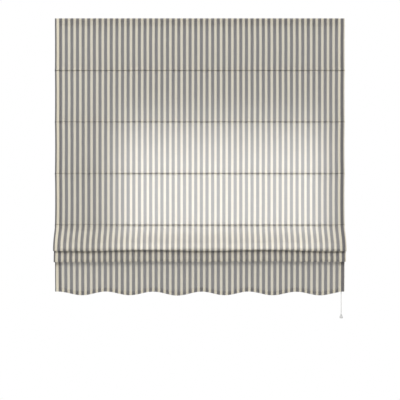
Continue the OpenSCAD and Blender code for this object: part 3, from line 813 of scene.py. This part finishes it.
def makeSleeve(name, place, body, flat):
    s = sleeveSet
    bm = bmesh.new()
    uv = bm.loops.layers.uv.new("cut")
    girth = bm.verts.layers.float.new("girth")
    ring = bmesh.ops.create_circle(bm, cap_ends=False, segments=s["sides"], radius=1.0)["verts"]
    for v in ring:
        c, n, angle = v.co.x, v.co.y, math.atan2(v.co.y, v.co.x)
        v[girth] = angle * (s["barHalf"][1] * s["barGirth"] if flat else s["radius"])
        if flat:
            y = s["barHalf"][0] * math.copysign(abs(c) ** s["barRound"][0], c)
            z = s["barHalf"][1] * math.copysign(abs(n) ** s["barRound"][1], n)
        else:
            y = s["radius"] * c + s["notch"] * max(0.0, -c) ** 30
            z = s["radius"] * n
        v.co = (-s["reach"], place.y + y, place.z + z)
    first = list(ring)
    step = 2 * s["reach"] / s["steps"]
    for i in range(s["steps"]):
        edges = list({e for v in ring for e in v.link_edges if all(w in ring for w in e.verts)})
        grown = bmesh.ops.extrude_edge_only(bm, edges=edges)["geom"]
        ring = [g for g in grown if isinstance(g, bmesh.types.BMVert)]
        bmesh.ops.translate(bm, vec=(step, 0, 0), verts=ring)
    # the sewn cloth puckers a little along the rod
    along, around, apart = s["grain"]
    for v in bm.verts:
        spot = Vector((v.co.x * along, v[girth] * around, place.z * apart))
        pucker = 1.0 + s["pucker"] * noise.noise(spot) - s["drawn"]
        v.co.y = place.y + (v.co.y - place.y) * pucker
        v.co.z = place.z + (v.co.z - place.z) * pucker
    lids = [bmesh.ops.contextual_create(bm, geom=rim)["faces"][0] for rim in (first, ring)]
    bmesh.ops.recalc_face_normals(bm, faces=bm.faces)
    bmesh.ops.inset_region(bm, faces=lids, thickness=s["mouth"], depth=0.0)
    for lid in lids:
        inward = -1.0 if lid.calc_center_median().x > 0 else 1.0
        deep = bmesh.ops.extrude_discrete_faces(bm, faces=[lid])["faces"]
        bmesh.ops.translate(bm, vec=(inward * s["mouthDeep"], 0, 0), verts=deep[0].verts)
    for face in bm.faces:
        for loop in face.loops:
            loop[uv].uv = (loop.vert.co.x, loop.vert[girth])
    piece = addPiece(name, bm, [cloth])
    keepEdges(piece, 50)
    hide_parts("fabric")
    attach(piece, body)


for k, place in enumerate(rodPlace):
    makeSleeve(f"rod_sleeve_{k + 1}", place, f"rod_{k + 1}", False)
makeSleeve("bar_sleeve", barPlace, "bar", True)


# each ring is sewn to its sleeve with a few turns of thread
loopSet = {"wire": 0.28 * mm, "radius": 1.6 * mm, "bite": 0.2 * mm, "sides": 5, "steps": 10,
           "turns": (-1.5 * mm, -0.5 * mm, 0.5 * mm, 1.5 * mm)}


def makeRingThread(name, height, body):
    s = loopSet
    bm = bmesh.new()
    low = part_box("bar_rings" if body == "bar" else "rings_" + body[-1])[0]
    foot = low[1] + s["bite"]
    for x in liftSet["columns"]:
        for shift in s["turns"]:
            centre = Vector((x + shift, foot, height))
            top = Matrix.Translation(centre + Vector((0, 0, s["radius"])))
            top = top @ Matrix.Rotation(math.pi / 2, 4, "X")
            ring = bmesh.ops.create_circle(bm, cap_ends=False, segments=s["sides"], radius=s["wire"],
                                           matrix=top)["verts"]
            edges = list({e for v in ring for e in v.link_edges})
            bmesh.ops.spin(bm, geom=ring + edges, cent=centre, axis=(1, 0, 0), angle=2 * math.pi,
                           steps=s["steps"], use_merge=True)
    bmesh.ops.remove_doubles(bm, verts=bm.verts, dist=0.01 * mm)
    piece = addPiece(name, bm, [thread])
    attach(piece, body)


for k in range(1, 6):
    makeRingThread(f"ring_thread_{k}", middle(f"rings_{k}").z, f"rod_{k}")
makeRingThread("ring_thread_bar", middle("bar_rings").z, "bar")
print("sleeves and ring threads made")


# finishes of the rigid pieces, on Object coordinates
coatSet = {"peel": 900.0, "dust": 14.0, "dusty": 0.94, "rough": 0.34, "rougher": 0.14, "high": 0.05 * mm}


def powderCoat(name, colour):
    s = coatSet
    coat = Finish(name)
    spot = coat.place((1.0, 1.0, 1.0))
    peel = coat.speckle(spot, s["peel"], 1.0)
    dust = coat.speckle(spot, s["dust"], 5.0)
    coat.feed({"Base Color": coat.blendColours(dust, shade(colour, s["dusty"]), colour),
               "Roughness": s["rough"] + s["rougher"] * dust})
    coat.relief(peel, s["high"], 0.5)
    return coat.material


plasticSet = {"grain": 2200.0, "flow": (60.0, 60.0, 20.0), "dull": 0.92, "rougher": 0.12}


def mouldedPlastic(name, colour, rough, high=0.04 * mm):
    s = plasticSet
    plastic = Finish(name)
    fine = plastic.speckle(plastic.place((1.0, 1.0, 1.0)), s["grain"], 2.0)
    flow = plastic.speckle(plastic.place(s["flow"]), 1.0, 3.0)
    plastic.feed({"Base Color": plastic.blendColours(flow, shade(colour, s["dull"]), colour),
                  "Roughness": rough + s["rougher"] * flow})
    plastic.relief(fine, high, 0.6)
    return plastic.material


metalSet = {"stain": (30.0, 30.0, 30.0), "stained": 0.8, "rougher": 0.2, "high": 0.02 * mm}


def drawnMetal(name, colour, scale, rough):
    s = metalSet
    metal = Finish(name, {"Metallic": 1.0})
    lines = metal.speckle(metal.place(scale), 1.0, 3.0)
    stain = metal.speckle(metal.place(s["stain"]), 1.0, 4.0)
    metal.feed({"Base Color": metal.blendColours(stain, shade(colour, s["stained"]), colour),
                "Roughness": rough + s["rougher"] * lines})
    metal.relief(lines, s["high"], 0.6)
    return metal.material


tapeSet = {"tufts": 750.0, "fuzz": 1500.0, "pileFrom": 0.1, "pileTo": 0.9, "high": 0.4 * mm,
           "light": (0.78, 0.77, 0.73, 1), "dark": (0.50, 0.49, 0.46, 1)}


def tapeFinish():
    s = tapeSet
    tape = Finish("hook_and_loop_tape", {"Roughness": 0.9, "Sheen Weight": 0.3})
    spot = tape.place((1.0, 1.0, 1.0))
    tufts = tape.node("TexVoronoi", {"feature": "F1"}, {"Vector": spot, "Scale": s["tufts"]}, "Distance")
    fuzz = tape.speckle(spot, s["fuzz"], 3.0)
    # the colour darkens between the tufts, where the pile lies low: painted shade in the gaps, mixed with a
    # random fuzz tone
    pileAndGapShade = tape.step(tufts * 0.8 + fuzz * 0.4, s["pileFrom"], s["pileTo"])
    tape.feed({"Base Color": tape.blendColours(pileAndGapShade, s["light"], s["dark"])})
    tape.relief(1 - pileAndGapShade, s["high"])
    return tape.material


rodSet = {"fibre": (6.0, 1800.0, 1800.0), "rough": 0.32, "rougher": 0.2, "high": 0.03 * mm,
          "dark": (0.70, 0.69, 0.62, 1), "light": (0.86, 0.85, 0.80, 1)}


def rodFinish():
    s = rodSet
    rod = Finish("glass_fibre_rod", {"Coat Weight": 0.2})
    lines = rod.speckle(rod.place(s["fibre"]), 1.0, 3.0)
    rod.feed({"Base Color": rod.blendColours(lines, s["dark"], s["light"]),
              "Roughness": s["rough"] + s["rougher"] * lines})
    rod.relief(lines, s["high"])
    return rod.material


finishOf = {
    "rail": powderCoat("white_powder_coat", (0.80, 0.80, 0.78, 1)),
    "trim_plastic": mouldedPlastic("white_trim_plastic", (0.80, 0.80, 0.77, 1), 0.38),
    "tape": tapeFinish(),
    "bracket_steel": drawnMetal("zinc_plated_steel", (0.72, 0.73, 0.74, 1), (160.0, 160.0, 900.0), 0.34),
    "pin_steel": drawnMetal("bright_pin_steel", (0.64, 0.64, 0.65, 1), (2400.0, 90.0, 2400.0), 0.2),
    "latch_plastic": mouldedPlastic("dark_latch_plastic", (0.13, 0.135, 0.14, 1), 0.42),
    "gear_plastic": mouldedPlastic("nylon_gear_plastic", (0.78, 0.77, 0.72, 1), 0.4),
    "pawl_brass": drawnMetal("pawl_brass", (0.78, 0.58, 0.26, 1), (500.0, 2200.0, 500.0), 0.26),
    "bar_metal": drawnMetal("mill_aluminium", (0.80, 0.81, 0.82, 1), (10.0, 1800.0, 1800.0), 0.34),
    "rod": rodFinish(),
    "ring_plastic": mouldedPlastic("ring_plastic", (0.82, 0.82, 0.80, 1), 0.22, 0.01 * mm),
    "bell_plastic": mouldedPlastic("bell_plastic", (0.66, 0.66, 0.65, 1), 0.26, 0.015 * mm),
}
finishOf["cloth"] = cloth
finishOf["cord"] = mouldedPlastic("cord_knot", (0.78, 0.77, 0.74, 1), 0.7, 0.2 * mm)


def dressNodes():
    for part in frame["record"]["subparts"]:
        for place in bpy.data.objects[part["node"]].material_slots:
            place.material = finishOf[part["material_slot"]]


dressNodes()
print("rigid pieces finished")


# light: soft from in front, and a window's daylight behind the cloth and inside its folds
lightSet = {"ambient": 0.42, "fromAbove": 0.24, "fromBehind": -0.05, "floor": -2.3, "floorSize": 1.8}
lampSet = {"key": {"place": (-0.8, -5.2, 2.4), "aim": (0.0, 0.0, -0.7), "size": (1.8, 1.8), "power": 203.0},
           "window": {"place": (0.085, 0.032, -0.625), "aim": (0.085, -1.0, -0.625), "size": (1.13, 0.69),
                      "power": 2.88, "fade": (0.02, 0.547), "spread": 100},
           "fold": {"place": (0.0, -0.0563, -0.954), "aim": (0.0, -0.9663, -0.54), "size": (1.29, 0.0593),
                    "power": 0.204, "fade": (0.02, 0.12), "least": 0.39},
           "foldFoot": {"place": (0.0, -0.0725, -0.9935), "aim": (0.0, -1.0455, -0.7635),
                        "size": (1.29, 0.0257), "power": 0.112, "fade": (0.02, 0.02), "least": 0.39},
           "lowFold": {"place": (0.0, -0.0605, -1.035), "aim": (0.0, -1.0605, -0.885), "size": (1.29, 0.04),
                       "power": 0.028, "fade": (0.05, 0.7), "least": 1.0}}
# across the cloth the glow rises between the left pair of places and falls between the right pair
glowSet = {"left": (-0.48, -0.254), "right": (0.492, 0.65)}


# the glow's share along a lamp's width, which runs from right to left
def acrossGlow(nodes, s, across):
    at = [0.5 - (x - s["place"][0]) / s["size"][0] for x in glowSet["left"] + glowSet["right"]]
    return nodes.step(across, at[3], at[2]) * nodes.step(across, at[1], at[0], 1.0, 0.0)


# a lamp out of the camera's sight, weaker towards its lower and upper edges and outside the glow
def addLamp(name, s):
    data = bpy.data.lights.new(name, "AREA")
    data.shape = "RECTANGLE"
    data.size, data.size_y = s["size"]
    data.energy = s["power"]
    data.spread = math.radians(s.get("spread", 180))
    if "fade" in s:
        foot, top = s["fade"]
        least = s.get("least", 0.0)
        nodes = NodeSet(data)
        across = nodes.node("SeparateXYZ", {}, {0: nodes.node("NewGeometry", output="Parametric")}, "X")
        up = across.side("Y")
        strength = least + (1 - least) * acrossGlow(nodes, s, across)
        strength = strength * nodes.step(up, 0.0, foot) * nodes.step(up, 1 - top, 1.0, 1.0, 0.0)
        plug(nodes.tree, nodes.tree.nodes["Emission"].inputs["Strength"], strength)
    lamp = bpy.data.objects.new(name, data)
    lamp.location = s["place"]
    lamp.rotation_euler = (Vector(s["aim"]) - lamp.location).to_track_quat("-Z", "Y").to_euler()
    lamp.visible_camera = False
    scene.collection.objects.link(lamp)


def setLight():
    s = lightSet
    for name, lamp in lampSet.items():
        addLamp(name, lamp)
    scene.world = bpy.data.worlds.new("studio")
    nodes = NodeSet(scene.world)
    seen = nodes.node("LightPath", output="Is Camera Ray")
    clear = seen.side("Is Transmission Ray") - seen.side("Is Diffuse Ray")
    seen = seen.larger(seen.side("Is Glossy Ray")).larger(clear)
    # the room is darker behind and below the blind
    up = nodes.node("SeparateXYZ", {}, {0: nodes.node("TexCoord", output="Generated")}, "Z")
    ambient = s["ambient"] + up * s["fromAbove"] + up.side("Y") * s["fromBehind"]
    shell = nodes.tree.nodes["Background"]
    shell.inputs["Color"].default_value = (1, 1, 1, 1)
    plug(nodes.tree, shell.inputs["Strength"], ambient + seen * (1 - ambient))


def makeFloor():
    s = lightSet
    bm = bmesh.new()
    bmesh.ops.create_grid(bm, x_segments=2, y_segments=2, size=s["floorSize"],
                          matrix=Matrix.Translation((0, 0, s["floor"])))
    pale = Finish("pale_floor", {"Roughness": 0.8, "Base Color": (0.86, 0.86, 0.85, 1)})
    addPiece("floor", bm, [pale.material])


setLight()
makeFloor()
print("light and floor set")
